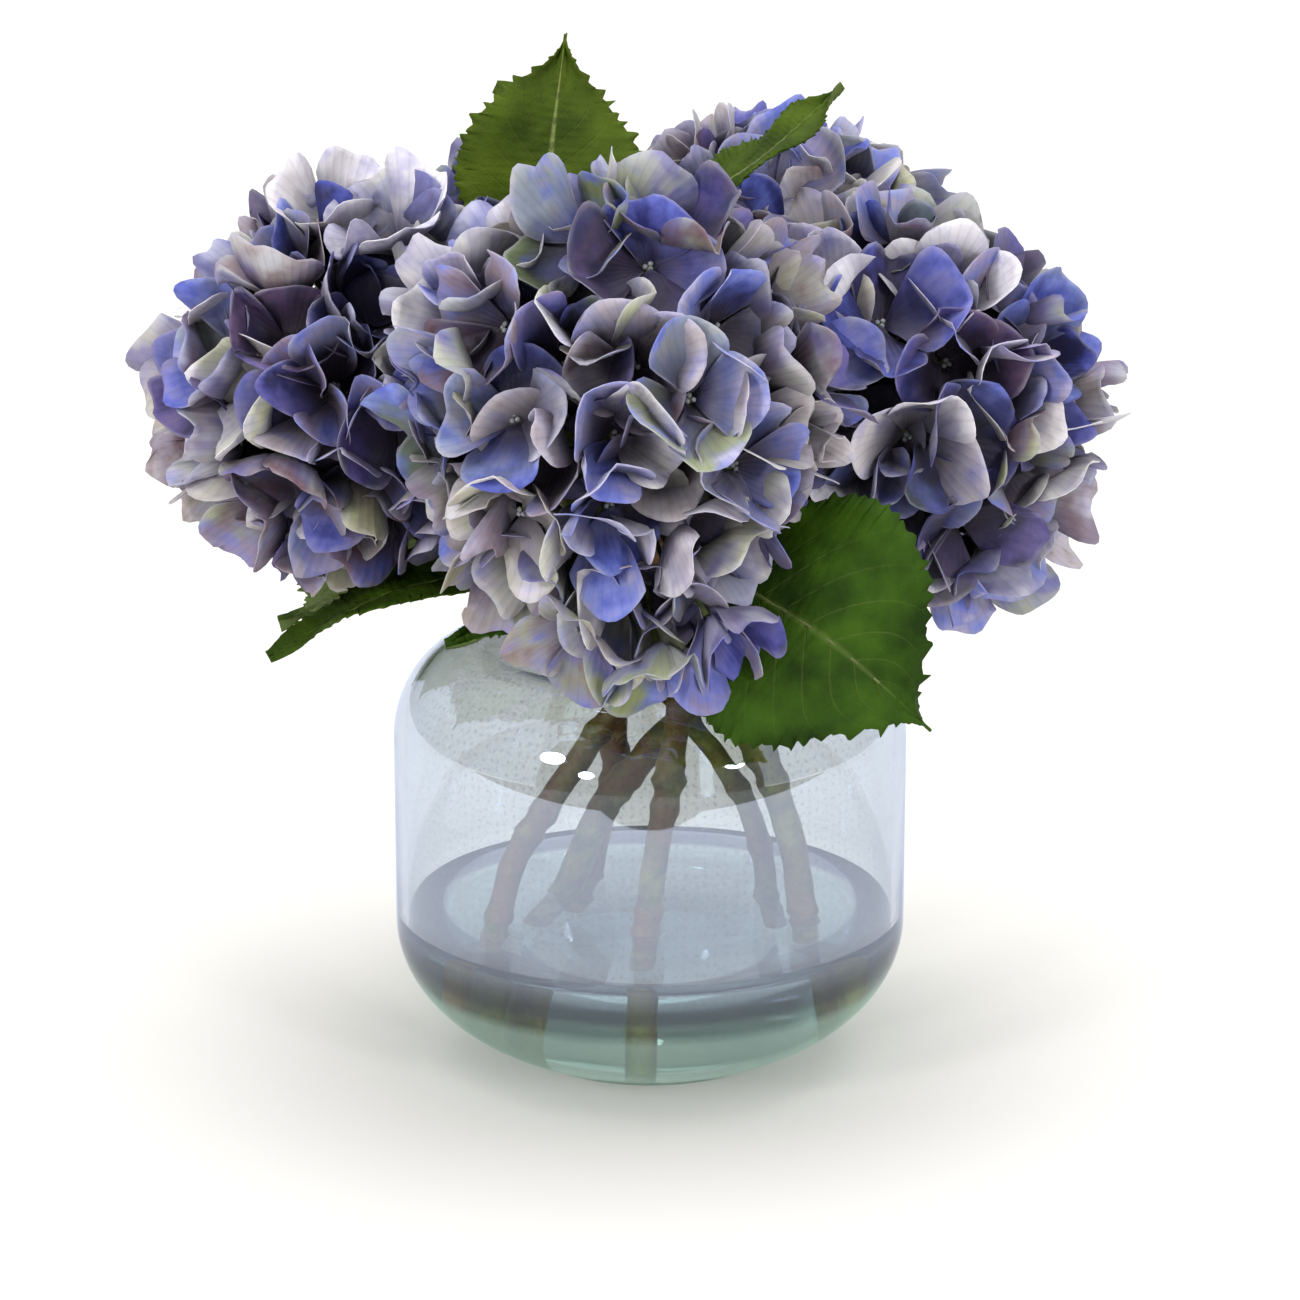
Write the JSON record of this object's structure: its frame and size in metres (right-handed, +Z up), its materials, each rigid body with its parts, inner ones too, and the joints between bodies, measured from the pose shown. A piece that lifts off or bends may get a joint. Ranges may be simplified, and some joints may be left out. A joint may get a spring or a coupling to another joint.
{
  "type": "hydrangeas in a vase",
  "caption": "Blue-lilac hydrangea heads with dark leaves on bent stems, standing in a low round smoky-blue glass vase that is partly filled with water.",
  "frame": {"origin": "centre of the vase's flat foot, on the surface it stands on", "axes": "+Z up along the vase's axis, -Y towards the front, where the lowest flower head hangs over the shoulder, +X towards the right as seen from the front"},
  "size_m": [0.3306, 0.3089, 0.3473],
  "materials": {
    "vase_glass": "smooth blown glass with a smoky pale blue tint",
    "water": "clear still liquid with a flat mirror-smooth top",
    "stem": "satin olive to brown bark with knuckles",
    "flower_stalks": "matte pale green",
    "leaf": "satin printed cloth with a paler midrib",
    "petals": "matte thin cloth, periwinkle to lilac with cream and moss tints"
  },
  "bodies": {
    "root": {"cluster_back_left_1": "petals", "cluster_back_left_2": "petals", "cluster_back_left_3": "petals", "cluster_back_left_4": "petals", "cluster_back_left_5": "petals", "cluster_back_left_crown": "petals", "cluster_back_right_1": "petals", "cluster_back_right_2": "petals", "cluster_back_right_3": "petals", "cluster_back_right_4": "petals", "cluster_back_right_5": "petals", "cluster_back_right_crown": "petals", "cluster_front_1": "petals", "cluster_front_2": "petals", "cluster_front_3": "petals", "cluster_front_4": "petals", "cluster_front_5": "petals", "cluster_front_crown": "petals", "cluster_left_1": "petals", "cluster_left_2": "petals", "cluster_left_3": "petals", "cluster_left_4": "petals", "cluster_left_5": "petals", "cluster_left_crown": "petals", "cluster_right_1": "petals", "cluster_right_2": "petals", "cluster_right_3": "petals", "cluster_right_4": "petals", "cluster_right_5": "petals", "cluster_right_crown": "petals", "leaf_back_left": "leaf", "leaf_back_middle": "leaf", "leaf_back_right": "leaf", "leaf_front_left": "leaf", "leaf_front_right": "leaf", "leaf_left_side": "leaf", "leaf_lower_left": "leaf", "leaf_top_back": "leaf", "leaf_top_left": "leaf", "leaf_top_right": "leaf", "spray_back_left": "flower_stalks", "spray_back_right": "flower_stalks", "spray_front": "flower_stalks", "spray_left": "flower_stalks", "spray_right": "flower_stalks", "stem_back_left": "stem", "stem_back_right": "stem", "stem_foliage": "stem", "stem_front": "stem", "stem_left": "stem", "stem_right": "stem", "vase": "vase_glass", "water": "water"}
  },
  "joints": []
}
